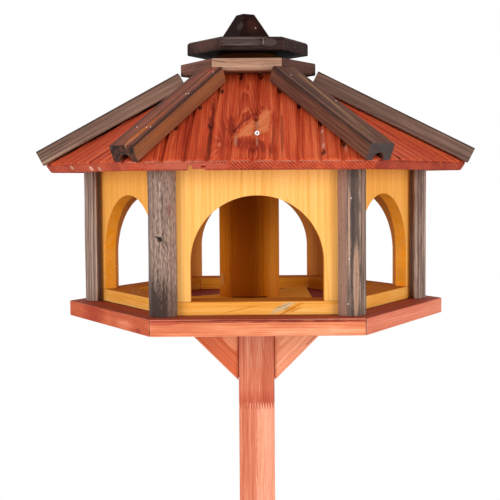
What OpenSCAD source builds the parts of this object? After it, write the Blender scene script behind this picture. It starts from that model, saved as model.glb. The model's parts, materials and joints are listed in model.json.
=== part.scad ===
// Six-sided wooden bird feeder with a feed silo, on a post with a cross foot.
// Millimetres, +Z up. The origin is on the ground, in the middle of the foot.

/* [Deck] */
// Height of the deck's underside above the ground
deck_height = 1070; // [900:10:1200]
// Corner radius of the hexagonal deck
deck_r = 238; // [225:1:260]
// Thickness of the deck boards
deck_t = 19; // [15:1:25]
// Width of the mitred boards round the deck
deck_board_w = 72; // [55:1:90]
// Open joint between two mitred boards
mitre_gap = 0.4; // [0.2:0.1:1]

/* [Rim and walls] */
// Corner radius of the rim and of the walls that stand on it
wall_r = 198; // [192:1:202]
// Width of the flat rim boards
rim_w = 40; // [32:1:48]
// Thickness of the rim boards
rim_t = 15.5; // [12:0.5:20]
// Thickness of the wall boards
wall_t = 15.5; // [12:0.5:20]
// Height of a wall's outer face above the rim
wall_h = 177; // [165:1:220]
// Width of the arch in each wall
arch_w = 150; // [120:1:152]
// How far the arches at the front's sides stand towards the left and right corners
arch_shift = 10; // [0:1:11]
// How far the arches at the back's sides stand towards the left and right corners
arch_shift_back = 6; // [0:1:11]
// Height of the arch's spring line above the rim
arch_spring = 44; // [30:1:55]

/* [Corner posts] */
// Diameter of the half-round posts
post_d = 35; // [28:1:40]
// Gap between a post and the house's corner
post_gap = 1.5; // [0.5:0.5:3]
// How far the front and back posts stand off their corners, sideways
post_slide = 5.5; // [0:0.5:8]
// Play left between pieces that only touch
seat_gap = 0.3; // [0.2:0.1:0.5]

/* [Roof] */
// Pitch of the roof panels, in degrees
roof_pitch = 30.8; // [26:0.2:34]
// Turn of the roof on the house, in degrees
roof_turn = -1.4; // [-3:0.2:3]
// Thickness of the roof boards
roof_t = 14; // [11:0.5:18]
// Reach of the eaves past the walls, level
eave_out = 60; // [45:1:70]
// Half width, across the flats, of the opening at the roof's top
roof_open = 48.5; // [47:0.5:56]
// Distance between the grooves in the roof boards
groove_pitch = 24.2; // [18:0.2:34]
// Width of a groove
groove_w = 6; // [3:0.5:7]
// Lean of the grooves off the slope, to the right going up
groove_lean = 2.2; // [-4:0.2:4]
// Rounding along the eaves
eave_round = 3.5; // [1:0.5:5]

/* [Hip battens] */
// Width of a hip batten
batten_w = 32; // [26:1:40]
// Height of a hip batten
batten_h = 20; // [16:1:26]
// Width of the channel under a batten
channel_w = 15; // [10:1:18]
// Depth of the channel under a batten
channel_d = 9; // [6:0.5:11]
// Rounding along a batten's four edges
batten_round = 2.5; // [1:0.5:5]
// Reach of a batten past the eave corner, along the hip
batten_reach = 0; // [-10:1:10]

/* [Crown and cap] */
// How far the crown, silo and cap stand to the left of the house's middle
crown_shift = 8; // [0:1:12]
// Corner radius of the crown ring
ring_r = 85.5; // [80:0.5:95]
// Thickness of the crown ring
ring_t = 15; // [12:0.5:20]
// Height of the silo above the ring
silo_rise = 10; // [6:0.5:16]
// Corner radius of the cap
cap_r = 76.5; // [70:0.5:84]
// Thickness of the cap
cap_t = 16.5; // [12:0.5:20]
// Turn of the cap on the silo, in degrees
cap_turn = 4; // [-10:0.5:10]
// Chamfer round the cap's top edge
cap_bevel = 2.5; // [1:0.5:5]
// Side of the finial's square foot
finial_w = 51; // [38:1:54]
// Side of the finial's flat top
finial_top_w = 17; // [10:1:24]
// Height of the finial
finial_h = 35; // [28:1:50]
// Turn of the finial, in degrees
finial_turn = 32; // [0:1:45]
// How far the finial stands to the left on the cap
finial_shift = 3; // [0:1:6]

/* [Silo] */
// Outer diameter of the silo tube
silo_d = 76; // [70:1:80]
// Wall of the silo tube
silo_wall = 8; // [5:0.5:12]
// Play between the silo and the crown ring
silo_play = 0.5; // [0.3:0.1:1]
// Width of the two feed outlets at the silo's foot
outlet_w = 42; // [30:1:56]
// Height of the feed outlets
outlet_h = 1.8; // [1:0.2:5]
// Play between the cap's plug and the silo's bore
plug_play = 1.5; // [1:0.5:3]
// Depth of the cap's plug
plug_h = 16; // [10:1:25]
// Thickness of the board under the silo
seat_t = 5; // [4:0.5:8]
// Width of the board under the silo
seat_w = 122; // [100:1:140]
// Turn of the board under the silo, in degrees
seat_turn = 38; // [20:1:50]
// Distance from the house's middle to the board's back edge
seat_back = 41; // [38:1:60]
// Distance from the house's middle to the board's sawn right end
seat_right = 70; // [50:1:90]

/* [Stand] */
// Side of the square stand post
stand_w = 45; // [40:1:60]
// Length of each leg of a bracket, along the post and along the board it holds
bracket_leg = 83; // [65:1:95]
// Thickness of a bracket
bracket_t = 36; // [28:1:38]
// Width of the narrow joint beside a bracket
bracket_gap = 0.5; // [0.3:0.1:0.8]
// Length of each beam of the cross foot
foot_l = 600; // [520:10:700]
// Height of a foot beam
foot_h = 45; // [38:1:60]
// Chamfer at the upper ends of the foot beams
foot_bevel = 12; // [4:1:20]

/* [Hidden] */
SIDES = 6;
STEP = 360 / SIDES;
HALF = STEP / 2;
$fn = 64;
FAR = 1000;
CUT = 1;

// Heights below are counted from the deck's top
deck_z = deck_height + deck_t;
wall_a = wall_r * cos(HALF);
eave_a = wall_a + eave_out;
eave_r = eave_a / cos(HALF);
eave_z = rim_t + wall_h + roof_t / cos(roof_pitch) - eave_out * tan(roof_pitch);
roof_rise = (eave_a - roof_open) * tan(roof_pitch);
ring_z = eave_z + roof_rise + seat_gap;
silo_top = ring_z + ring_t + silo_rise;
cap_z = silo_top + seat_gap;
crown = [-crown_shift, 0];

// Ring and plug take their sizes from the silo
ring_w = ring_r * cos(HALF) - silo_d / 2 - silo_play;
plug_r = silo_d / 2 - silo_wall - plug_play;

// Each roof slope's level direction outwards, its run and pitch, and the square to it.
// Side 0 is the front, and the numbers run to the right.
function side_turn(i) = i * STEP - 90 + roof_turn;
function side_out(i) = [cos(side_turn(i)), sin(side_turn(i))];
function side_run(i) = eave_a - roof_open - side_out(i) * crown;
function side_pitch(i) = atan(roof_rise / side_run(i));
function side_square(i) = concat(side_out(i) * sin(side_pitch(i)), [cos(side_pitch(i))]);

// Each corner's eave point, the top of its hip and the hip's frame. Corner 0 is the front right one.
function corner_turn(i) = i * STEP - STEP + roof_turn;
function corner_out(i) = [cos(corner_turn(i)), sin(corner_turn(i))];
function hip_foot(i) = eave_r * corner_out(i);
function hip_head(i) = crown + roof_open / cos(HALF) * corner_out(i);
function hip_plan(i) = hip_foot(i) - hip_head(i);
function hip_turn(i) = atan2(hip_plan(i)[1], hip_plan(i)[0]);
function hip_pitch(i) = atan(roof_rise / norm(hip_plan(i)));
function hip_level(i) = [cos(hip_turn(i)), sin(hip_turn(i))];
function hip_down(i) = concat(cos(hip_pitch(i)) * hip_level(i), [-sin(hip_pitch(i))]);
function hip_left(i) = [-sin(hip_turn(i)), cos(hip_turn(i)), 0];
function hip_square(i) = cross(hip_down(i), hip_left(i));
function hip_fall(i, side) = abs(side_square(side) * hip_left(i)) / (side_square(side) * hip_square(i));

// A batten's seat over the hip line, and its upper end where it meets the ring's corner
function batten_seat(i) = seat_gap - channel_w / 2 * min(hip_fall(i, i), hip_fall(i, i + 1));
function ring_corner(i) = concat(crown + ring_r * corner_out(i), [ring_z]);
function batten_high(i) = (ring_corner(i) - concat(hip_foot(i), [eave_z])) * hip_down(i) + seat_gap;

// Raises its children onto the deck's top
module on_deck() {
    translate([0, 0, deck_z]) children();
}

// Raises its children onto the deck's top, over the silo's axis
module on_axis(z) {
    translate(concat(crown, [deck_z + z])) children();
}

// Turns the front side, which faces -Y, to side i
module to_side(i) {
    rotate([0, 0, i * STEP]) children();
}

// Turns +X to corner i
module to_corner(i) {
    rotate([0, 0, (i - 1) * STEP]) children();
}

// Level hexagon of corner radius r, with two sides along X
module hexagon(r) {
    circle(r = r, $fn = SIDES);
}

// Plan of the front sixth of a hexagon, less half a joint at each mitre
module sixth() {
    apex = mitre_gap / 2 / sin(HALF);
    reach = FAR * tan(HALF);
    polygon([[0, -apex], [-reach, -FAR - apex], [reach, -FAR - apex]]);
}

// One flat mitred board along the front side
module mitred_board(r, w, t) {
    a = r * cos(HALF);
    linear_extrude(t) intersection() {
        sixth();
        translate([-r, -a]) square([2 * r, w]);
    }
}

// Six flat mitred boards in a ring
module board_ring(r, w, t) {
    for (i = [0 : SIDES - 1]) to_side(i) mitred_board(r, w, t);
}

// Turns its children as the roof stands on the house
module with_roof() {
    rotate([0, 0, roof_turn]) children();
}

// The frame of roof slope i, from its eave: x level, y up the slope, z square to it
module on_slope(i) {
    with_roof() to_side(i) translate([0, -eave_a, eave_z])
        rotate([side_pitch(i), 0, 0]) children();
}

// Everything above the underside of roof slope i, and a gap under it
module above_soffit(i, gap) {
    on_slope(i) translate([-FAR, -FAR, -roof_t - gap]) cube([2 * FAR, 2 * FAR, FAR]);
}

module deck_frame() {
    color("darksalmon") translate([0, 0, deck_height]) board_ring(deck_r, deck_board_w, deck_t);
}

module deck_panel() {
    panel_r = deck_r - (deck_board_w + mitre_gap) / cos(HALF);
    color("sienna") translate([0, 0, deck_height]) linear_extrude(deck_t) hexagon(panel_r);
}

module rim_frame() {
    color("goldenrod") on_deck() board_ring(wall_r, rim_w, rim_t);
}

// How far the arch of wall i stands to the right of the wall's middle
function arch_offset(i) = [0, arch_shift, -arch_shift_back, 0, arch_shift_back, -arch_shift][i];

// Outline of a wall's arch, with its straight legs running down past the rim
module arch() {
    translate([0, arch_spring]) circle(d = arch_w);
    translate([-arch_w / 2, -CUT]) square([arch_w, arch_spring + CUT]);
}

module wall(i) {
    color("orange") on_deck() difference() {
        to_side(i) translate([0, 0, rim_t]) mitred_board(wall_r, wall_t, wall_h + wall_t);
        for (side = [i, i + 1, i + 5])
            above_soffit(side, 0);
        to_side(i) translate([arch_offset(i), 0, rim_t]) rotate([90, 0, 0])
            linear_extrude(FAR) arch();
    }
}

// How far the post at corner i stands off it, counterclockwise
function post_offset(i) = post_slide * (1 - i % 3);

module corner_post(i) {
    color("dimgray") on_deck() difference() {
        to_corner(i) translate([wall_r + post_gap, post_offset(i), 0]) intersection() {
            cylinder(d = post_d, h = wall_h + rim_t + roof_t);
            translate([0, -post_d, -CUT]) cube([post_d, 2 * post_d, FAR]);
        }
        above_soffit(i, seat_gap);
        above_soffit(i + 1, seat_gap);
    }
}

// A point beside the hip at corner i, by its distance past the eave corner and to the hip's left
function beside_hip(i, past, left) =
    hip_foot(i) + past * hip_level(i) + left * [hip_left(i)[0], hip_left(i)[1]];

// Plan of roof panel i, between its two hips and less half a joint along each
module panel_plan(i) {
    h = mitre_gap / 2;
    polygon([beside_hip(i + 5, CUT, h), beside_hip(i, CUT, -h),
             beside_hip(i, -roof_t - norm(hip_plan(i)), -h),
             beside_hip(i + 5, -roof_t - norm(hip_plan(i + 5)), h)]);
}

// Section of a roof board up the slope, rounded at the eave
module panel_section(run) {
    r = eave_round;
    translate([r, -roof_t]) square([run - r, roof_t]);
    translate([0, r - roof_t]) square([2 * r, roof_t - 2 * r]);
    for (z = [-r, r - roof_t]) translate([r, z]) circle(r);
}

module roof_panel(i) {
    run = norm([side_run(i), roof_rise]);
    half_count = floor(eave_r / 2 / groove_pitch);
    color("firebrick") on_deck() difference() {
        intersection() {
            on_slope(i) translate([-FAR / 2, 0, 0]) rotate([90, 0, 90])
                linear_extrude(FAR) panel_section(run);
            linear_extrude(FAR) panel_plan(i);
        }
        for (k = [-half_count : half_count])
            on_slope(i) rotate([0, 0, -groove_lean]) translate([k * groove_pitch, -groove_pitch, 0])
                rotate([-90, 0, 0]) cylinder(d = groove_w, h = run + 2 * groove_pitch);
    }
}

// Section of a hip batten: a board with rounded edges and a round-topped channel underneath
module batten_section() {
    r = batten_round;
    x = batten_w / 2;
    difference() {
        union() {
            translate([-x, r]) square([batten_w, batten_h - 2 * r]);
            translate([r - x, 0]) square([batten_w - 2 * r, batten_h]);
            for (sx = [-1, 1], z = [r, batten_h - r]) translate([sx * (x - r), z]) circle(r);
        }
        translate([-channel_w / 2, -CUT]) square([channel_w, channel_d - channel_w / 2 + CUT]);
        translate([0, channel_d - channel_w / 2]) circle(d = channel_w);
    }
}

module hip_batten(i) {
    color("saddlebrown") on_deck() translate(concat(hip_foot(i), [eave_z]))
        rotate([0, hip_pitch(i), hip_turn(i)]) translate([batten_high(i), 0, batten_seat(i)])
            rotate([90, 0, 90]) linear_extrude(batten_reach - batten_high(i)) batten_section();
}

module crown_ring() {
    color("tan") on_axis(ring_z) with_roof() board_ring(ring_r, ring_w, ring_t);
}

// The board under the silo, laid askew and sawn off at its right
module silo_seat() {
    inner_r = wall_r - rim_w / cos(HALF) - seat_gap;
    color("peru") on_deck() linear_extrude(seat_t) intersection() {
        rotate(seat_turn) translate([-FAR, seat_back - seat_w]) square([2 * FAR, seat_w]);
        translate([seat_right - FAR, -FAR / 2]) square(FAR);
        hexagon(inner_r);
    }
}

// The feed tube, with a low outlet through the foot of its front and back
module silo_tube() {
    h = silo_top - seat_t;
    color("peru") on_axis(seat_t) difference() {
        cylinder(d = silo_d, h = h);
        translate([0, 0, -CUT]) cylinder(d = silo_d - 2 * silo_wall, h = h + 2 * CUT);
        translate([-outlet_w / 2, -silo_d, -CUT]) cube([outlet_w, 2 * silo_d, outlet_h + CUT]);
    }
}

// A hexagonal board with its top edge chamfered: three chamfered bars where they all cross
module cap_plate() {
    a = cap_r * cos(HALF);
    top = a - cap_bevel;
    edge = cap_t - cap_bevel;
    bar = [[-a, 0], [a, 0], [a, edge], [top, cap_t], [-top, cap_t], [-a, edge]];
    color("#2a1d1b") on_axis(cap_z) intersection_for(turn = [0, STEP, 2 * STEP])
        rotate([0, 0, turn + cap_turn + 90]) translate([0, 2 * cap_r, 0]) rotate([90, 0, 0])
            linear_extrude(4 * cap_r) polygon(bar);
}

module cap_plug() {
    color("#2a1d1b") on_axis(cap_z - plug_h) cylinder(r = plug_r, h = plug_h);
}

// A square offcut sawn to a blunt pyramid
module finial() {
    w = finial_w / 2;
    top = finial_top_w / 2;
    side = [[-w, 0], [w, 0], [top, finial_h], [-top, finial_h]];
    color("#2a1d1b") on_axis(cap_z + cap_t) translate([-finial_shift, 0, 0])
        rotate([0, 0, finial_turn]) intersection() {
            translate([0, finial_w, 0]) rotate([90, 0, 0]) linear_extrude(2 * finial_w) polygon(side);
            translate([-finial_w, 0, 0]) rotate([90, 0, 90]) linear_extrude(2 * finial_w) polygon(side);
        }
}

module stand_post() {
    color("salmon") translate([-stand_w / 2, -stand_w / 2, foot_h])
        cube([stand_w, stand_w, deck_height - foot_h]);
}

// Right-angled triangular bracket in the corner beside the post, standing on z = 0
module bracket() {
    start = stand_w / 2 + bracket_gap;
    translate([start, bracket_t / 2, 0]) rotate([90, 0, 0])
        linear_extrude(bracket_t) polygon([[0, 0], [bracket_leg, 0], [0, bracket_leg]]);
}

module bracket_right() {
    color("chocolate") translate([0, 0, deck_height]) mirror([0, 0, 1]) bracket();
}

module bracket_left() {
    mirror([1, 0, 0]) bracket_right();
}

// A foot beam along X, with both upper ends chamfered
module foot_beam() {
    end = foot_l / 2;
    translate([0, stand_w / 2, 0]) rotate([90, 0, 0]) linear_extrude(stand_w)
        polygon([[-end, 0], [end, 0], [end, foot_h - foot_bevel], [end - foot_bevel, foot_h],
                 [foot_bevel - end, foot_h], [-end, foot_h - foot_bevel]]);
}

// The notch that lets one beam of the cross into the other
module foot_notch(z) {
    w = stand_w + 2 * seat_gap;
    translate([-w / 2, -stand_w, z]) cube([w, 2 * stand_w, foot_h]);
}

module foot_beam_long() {
    color("salmon") difference() {
        foot_beam();
        foot_notch(foot_h / 2);
    }
}

module foot_beam_cross() {
    color("salmon") rotate([0, 0, 90]) difference() {
        foot_beam();
        foot_notch(-foot_h / 2);
    }
}

module foot_brackets_long() {
    color("chocolate") for (turn = [0, 180])
        rotate([0, 0, turn]) translate([0, 0, foot_h]) bracket();
}

module foot_brackets_cross() {
    rotate([0, 0, 90]) foot_brackets_long();
}

deck_frame();
deck_panel();
rim_frame();
wall(0);  // wall_front
wall(1);  // wall_front_right
wall(2);  // wall_back_right
wall(3);  // wall_back
wall(4);  // wall_back_left
wall(5);  // wall_front_left
corner_post(0);  // post_front_right
corner_post(1);  // post_right
corner_post(2);  // post_back_right
corner_post(3);  // post_back_left
corner_post(4);  // post_left
corner_post(5);  // post_front_left
roof_panel(0);  // roof_front
roof_panel(1);  // roof_front_right
roof_panel(2);  // roof_back_right
roof_panel(3);  // roof_back
roof_panel(4);  // roof_back_left
roof_panel(5);  // roof_front_left
hip_batten(0);  // batten_front_right
hip_batten(1);  // batten_right
hip_batten(2);  // batten_back_right
hip_batten(3);  // batten_back_left
hip_batten(4);  // batten_left
hip_batten(5);  // batten_front_left
crown_ring();
silo_seat();
silo_tube();
cap_plate();
cap_plug();
finial();
stand_post();
bracket_left();
bracket_right();
foot_beam_long();
foot_beam_cross();
foot_brackets_long();
foot_brackets_cross();
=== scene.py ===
import json
import math

import bmesh
import bpy
import numpy as np
from mathutils import Matrix, Vector, noise
from mathutils.bvhtree import BVHTree


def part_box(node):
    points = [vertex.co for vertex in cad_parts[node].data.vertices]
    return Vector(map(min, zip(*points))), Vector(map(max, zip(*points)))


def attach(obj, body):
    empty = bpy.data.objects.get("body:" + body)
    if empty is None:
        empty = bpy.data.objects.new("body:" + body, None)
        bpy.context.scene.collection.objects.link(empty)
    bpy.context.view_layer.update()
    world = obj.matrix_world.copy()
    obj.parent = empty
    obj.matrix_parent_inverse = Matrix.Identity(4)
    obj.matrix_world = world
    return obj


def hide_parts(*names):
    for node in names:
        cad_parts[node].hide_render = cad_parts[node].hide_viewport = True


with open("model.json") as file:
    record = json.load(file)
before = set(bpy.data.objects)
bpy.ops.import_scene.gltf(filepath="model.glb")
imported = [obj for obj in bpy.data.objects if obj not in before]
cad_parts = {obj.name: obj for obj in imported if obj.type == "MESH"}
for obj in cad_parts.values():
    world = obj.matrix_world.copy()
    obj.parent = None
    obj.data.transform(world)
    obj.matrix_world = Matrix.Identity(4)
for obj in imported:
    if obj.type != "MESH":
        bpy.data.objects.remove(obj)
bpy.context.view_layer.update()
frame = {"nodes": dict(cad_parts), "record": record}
scene = bpy.context.scene
scene.view_settings.view_transform = "Standard"
up = Vector((0, 0, 1))
sides = ("front", "front_right", "back_right", "back", "back_left", "front_left")
corners = ("front_right", "right", "back_right", "back_left", "left", "front_left")
print("frame loaded")


# Shader helpers

def paint(code):  # a web colour as the linear colour that a shader takes
    parts = [int(code[k:k + 2], 16) / 255 for k in (1, 3, 5)]
    return tuple(c / 12.92 if c < 0.04 else ((c + 0.055) / 1.055) ** 2.4 for c in parts) + (1.0,)


def addNode(tree, kind, inputs, **settings):
    node = tree.nodes.new("ShaderNode" + kind)
    for key, value in settings.items():
        setattr(node, key, value)
    for key, value in inputs.items():
        if isinstance(value, bpy.types.NodeSocket):
            tree.links.new(value, node.inputs[key])
        else:
            node.inputs[key].default_value = value
    return node


def calc(tree, kind, a, b=0.0, c=0.0):
    return addNode(tree, "Math", {0: a, 1: b, 2: c}, operation=kind).outputs[0]


def moved(tree, kind, a, b):
    return addNode(tree, "VectorMath", {0: a, 1: b}, operation=kind).outputs["Vector"]


def swing(tree, value, by):  # swings by that much around zero
    return calc(tree, "MULTIPLY_ADD", value, by, -by / 2)


def attribute(tree, name):
    return addNode(tree, "Attribute", {}, attribute_name=name).outputs["Vector"]


def farFrom(tree, place, spot):  # 0 in a spot's middle, 1 where its ellipsoid ends
    offset = moved(tree, "SUBTRACT", place, spot["at"])
    if spot.get("turn"):
        inputs = {"Vector": offset, "Angle": math.radians(-spot["turn"])}
        axis = spot.get("about", "Z") + "_AXIS"
        offset = addNode(tree, "VectorRotate", inputs, rotation_type=axis).outputs["Vector"]
    scaled = moved(tree, "DIVIDE", offset, spot["size"])
    return addNode(tree, "VectorMath", {0: scaled}, operation="LENGTH").outputs["Value"]


def blendTo(tree, share, a, b):  # 0, 6 and 7 are the mix node's factor and its two colours
    return addNode(tree, "Mix", {0: share, 6: a, 7: b}, data_type="RGBA").outputs[2]


def fade(tree, value, start, end, low=0.0, high=1.0):
    inputs = {"Value": value, "From Min": start, "From Max": end, "To Min": low, "To Max": high}
    return addNode(tree, "MapRange", inputs, interpolation_type="SMOOTHSTEP").outputs["Result"]


def colourRamp(tree, value, stops):
    node = addNode(tree, "ValToRGB", {"Fac": value})
    ramp = node.color_ramp
    while len(ramp.elements) < len(stops):
        ramp.elements.new(0.5)
    for element, (position, code) in zip(ramp.elements, stops):
        element.position = position
        element.color = paint(code)
    return node.outputs["Color"]


def newMaterial(name):
    material = bpy.data.materials.new(name)
    material.use_nodes = True
    return material, material.node_tree, material.node_tree.nodes["Principled BSDF"]


# Stained softwood. Each board carries its own grain frame: along the fibres, across them, and through
# the board, from its middle. Knots and marks are placed in that frame, in millimetres. All other
# lengths are in metres.

softwood = dict(
    dark="#8A4A20", mid="#C8823C", light="#E8B070",  # stain in the late wood, between, and in the early
    bend=(0.25, 0.05, 0.0025),  # length, width and reach of the slow bends in the grain
    heart=(0.01, -0.07),        # the tree's heart, across the board and behind its middle
    lean=0.015,                 # how fast the board runs out through the year rings
    ringGap=0.0034,
    rings=-0.30, sharp=2.6,     # year rings in the colour, darker below zero, and how thin they are
    fibre=(0.035, 0.0009, 0.25),   # length and width of the finest streaks, and their strength
    streak=(0.30, 0.007, 0.35),
    patch=(0.12, 0.05, 0.25),
    boards=0.15,                # difference from board to board
    pores=(0.004, 0.0008), poresBy=0.0, pore="#3A1A0C", poresFrom=0.62,   # short dark flecks
    wear="#F0D0A0", wearBy=0.3,     # eased edges
    # grooveShade is painted shade, darkening the bottoms of the grooves
    grooveShade="#40140C", grooveShadeBy=0.0,   # bottoms of the grooves
    cut="#C8823C", cutBy=0.0, cutOn="Y",   # faces across the fibres, or with Z all that were sawn
    saw=0.0, sawGap=0.0033,     # marks that the saw leaves on them
    rough=0.72, gloss=0.14, relief=0.0005,
)
boardShift = (5.3, 3.1, 2.3)    # keeps the noise of two boards apart
frayed = (0.02, 0.003)          # length and width of the ragged ends of a stain, and how far they reach
frayedBy = 0.9
cutBlotch = (0.006, 0.006)      # uneven stain on the sawn faces
sawPatch = (0.04, 0.04)         # where the saw's marks show
sawWobble = (0.02, 0.02)


def mark(at, size, colour=None, **more):  # a stain or a patch of painted shade, or with lift a paler or darker place
    spot = dict(more, at=[value / 1000 for value in at], size=[value / 1000 for value in size])
    return dict(spot, colour=colour) if colour else spot


def like(other, at, size, colour=None, **more):  # the same kind of mark, elsewhere
    return dict(other, **mark(at, size, colour, **more))


def grainNoise(tree, place, size, detail=2.0, output="Fac"):
    length, width = size[:2]
    scaled = moved(tree, "DIVIDE", place, (length, width, width))
    inputs = {"Vector": scaled, "Scale": 1.0, "Detail": detail, "Roughness": 0.55}
    return addNode(tree, "TexNoise", inputs).outputs[output]


def yearRings(tree, place, apart, lot, look, knots):  # the rings' pattern and its strength
    length, width, reach = look["bend"]
    bends = grainNoise(tree, apart, (length, width), 1.0, "Color")
    bends = moved(tree, "SUBTRACT", bends, (0.5, 0.5, 0.5))
    bends = moved(tree, "MULTIPLY", bends, (0.0, 2 * reach, 2 * reach))
    bent = addNode(tree, "SeparateXYZ", {0: moved(tree, "ADD", place, bends)})
    heartAcross, heartBehind = look["heart"]
    across = calc(tree, "SUBTRACT", bent.outputs["Y"], heartAcross)
    across = calc(tree, "ADD", across, swing(tree, lot, 0.04))
    behind = calc(tree, "SUBTRACT", bent.outputs["Z"], heartBehind)
    behind = calc(tree, "MULTIPLY_ADD", bent.outputs["X"], look["lean"], behind)
    fromHeart = addNode(tree, "CombineXYZ", {1: across, 2: behind}).outputs[0]
    radius = addNode(tree, "VectorMath", {0: fromHeart}, operation="LENGTH").outputs["Value"]
    strength = look["rings"]
    for knot in knots:  # the rings swell round a knot and stand out there
        q = farFrom(tree, place, dict(knot, size=[s * knot.get("reach", 2.5) for s in knot["size"]]))
        near = calc(tree, "EXPONENT", calc(tree, "MULTIPLY", calc(tree, "MULTIPLY", q, q), -1.0))
        radius = calc(tree, "MULTIPLY_ADD", near, knot.get("swell", 0.018), radius)
        strength = calc(tree, "MULTIPLY_ADD", near, knot.get("lines", 0.0), strength)
    phase = calc(tree, "DIVIDE", radius, look["ringGap"])
    phase = calc(tree, "ADD", phase, swing(tree, grainNoise(tree, apart, (0.5, 0.012)), 2.4))
    ring = calc(tree, "POWER", calc(tree, "FRACT", phase), look["sharp"])
    return calc(tree, "MULTIPLY", calc(tree, "SUBTRACT", ring, 0.3), strength)


def woodFinish(name, look, knots=(), marks=()):
    material, tree, shader = newMaterial(name)
    place = attribute(tree, "board")
    trait = addNode(tree, "SeparateXYZ", {0: attribute(tree, "traits")})
    sawn = addNode(tree, "SeparateXYZ", {0: attribute(tree, "sawn")})
    lot = trait.outputs["X"]
    shift = addNode(tree, "VectorMath", {0: boardShift, "Scale": lot}, operation="SCALE")
    apart = moved(tree, "ADD", place, shift.outputs["Vector"])

    fibre = grainNoise(tree, apart, look["fibre"])
    streak = grainNoise(tree, apart, look["streak"], 3.0)
    patch = grainNoise(tree, apart, look["patch"])
    tone = calc(tree, "ADD", yearRings(tree, place, apart, lot, look, knots), 0.5)
    for value, by in ((fibre, 2 * look["fibre"][2]), (streak, 2 * look["streak"][2]),
                      (patch, 2 * look["patch"][2]), (lot, look["boards"])):
        tone = calc(tree, "ADD", tone, swing(tree, value, by))

    ragged = swing(tree, grainNoise(tree, apart, frayed, 3.0), frayedBy)
    stainsAndShade = []
    for mark in marks:
        edge = calc(tree, "MULTIPLY_ADD", ragged, mark.get("ragged", 1.0), farFrom(tree, place, mark))
        soft = mark.get("soft", 0.3)
        share = fade(tree, edge, 1.0 + soft, 1.0 - soft, 0.0, mark.get("share", 1.0))
        if "lift" in mark:
            tone = calc(tree, "MULTIPLY_ADD", share, mark["lift"], tone)
        else:
            stainsAndShade.append((share, mark["colour"]))
    for knot in knots:
        if "colour" in knot:
            edge = calc(tree, "ADD", farFrom(tree, place, knot), ragged)
            stainsAndShade.append((fade(tree, edge, 1.2, 0.7, 0.0, knot.get("share", 0.85)), knot["colour"]))

    colour = colourRamp(tree, tone, ((0.12, look["dark"]), (0.5, look["mid"]), (0.88, look["light"])))
    cutFace = sawn.outputs[look["cutOn"]]
    height = tone
    if look["cutBy"]:
        most, least = look["cutBy"], look["cutBy"] * 0.55
        blotchy = fade(tree, grainNoise(tree, apart, cutBlotch, 3.0), 0.35, 0.65, most, least)
        colour = blendTo(tree, calc(tree, "MULTIPLY", cutFace, blotchy), colour, paint(look["cut"]))
    if look["saw"]:
        wobble = swing(tree, grainNoise(tree, place, sawWobble), 3.0)
        stroke = calc(tree, "MULTIPLY_ADD", sawn.outputs["X"], 2 * math.pi / look["sawGap"], wobble)
        shown = fade(tree, grainNoise(tree, apart, sawPatch), 0.38, 0.6)
        shown = calc(tree, "MULTIPLY", calc(tree, "MULTIPLY", shown, cutFace), look["saw"])
        strokes = calc(tree, "MULTIPLY", calc(tree, "SINE", stroke), shown)
        height = calc(tree, "MULTIPLY_ADD", strokes, 0.5, height)
        colour = blendTo(tree, calc(tree, "MULTIPLY", strokes, 0.45), colour, paint(look["dark"]))
    for share, code in stainsAndShade:
        colour = blendTo(tree, share, colour, paint(code))
    if look["poresBy"]:
        pore = grainNoise(tree, apart, look["pores"], 1.0)
        pore = fade(tree, pore, look["poresFrom"], look["poresFrom"] + 0.1, 0.0, look["poresBy"])
        colour = blendTo(tree, pore, colour, paint(look["pore"]))
        height = calc(tree, "MULTIPLY_ADD", pore, -0.6, height)
    worn = fade(tree, streak, 0.35, 0.6, 0.0, look["wearBy"])
    worn = calc(tree, "MULTIPLY", trait.outputs["Y"], worn)
    colour = blendTo(tree, worn, colour, paint(look["wear"]))
    # painted shade in the bottoms of the grooves
    if look["grooveShadeBy"]:
        most, least = look["grooveShadeBy"] * 1.4, look["grooveShadeBy"] * 0.5
        shadeInGrooves = calc(tree, "MULTIPLY", trait.outputs["Z"], fade(tree, streak, 0.3, 0.7, most, least))
        colour = blendTo(tree, shadeInGrooves, colour, paint(look["grooveShade"]))

    bump = addNode(tree, "Bump", {"Strength": 0.6, "Distance": look["relief"], "Height": height})
    tree.links.new(colour, shader.inputs["Base Color"])
    rough = calc(tree, "ADD", look["rough"], swing(tree, fibre, 0.25))
    tree.links.new(rough, shader.inputs["Roughness"])
    tree.links.new(bump.outputs["Normal"], shader.inputs["Normal"])
    shader.inputs["Specular IOR Level"].default_value = look["gloss"]
    return material


def metalFinish(name, code, rough):
    material, tree, shader = newMaterial(name)
    place = addNode(tree, "TexCoord", {}).outputs["Object"]
    scuffs = addNode(tree, "TexNoise", {"Vector": place, "Scale": 900.0, "Detail": 3.0}).outputs["Fac"]
    dull = blendTo(tree, fade(tree, scuffs, 0.45, 0.7, 0.0, 0.5), paint(code), paint("#8E8A86"))
    tree.links.new(dull, shader.inputs["Base Color"])
    tree.links.new(fade(tree, scuffs, 0.3, 0.7, rough, rough + 0.3), shader.inputs["Roughness"])
    shader.inputs["Metallic"].default_value = 0.4
    return material


# Mesh helpers

def turnedTo(middle, step):  # the level direction from the house's middle, in whole steps
    turn = math.radians(step * round(math.degrees(math.atan2(middle.y, middle.x)) / step))
    return Vector((math.cos(turn), math.sin(turn), 0))


def sideOf(middle):  # the side of the house that a board lies on
    return sides[round((math.atan2(middle.x, -middle.y)) / math.radians(60)) % 6]


def roundGrain(middle, faces):  # boards laid in a ring
    return up.cross(turnedTo(middle, 30)), up


def wallGrain(middle, faces):
    return up, turnedTo(middle, 30)


def frontGrain(middle, faces):
    return up, Vector((0, -1, 0))


def slopeGrain(middle, faces):
    facing = max((f for f in faces if f.normal.z > 0.5), key=lambda f: f.calc_area()).normal
    return (up - facing * facing.z).normalized(), facing


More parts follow.
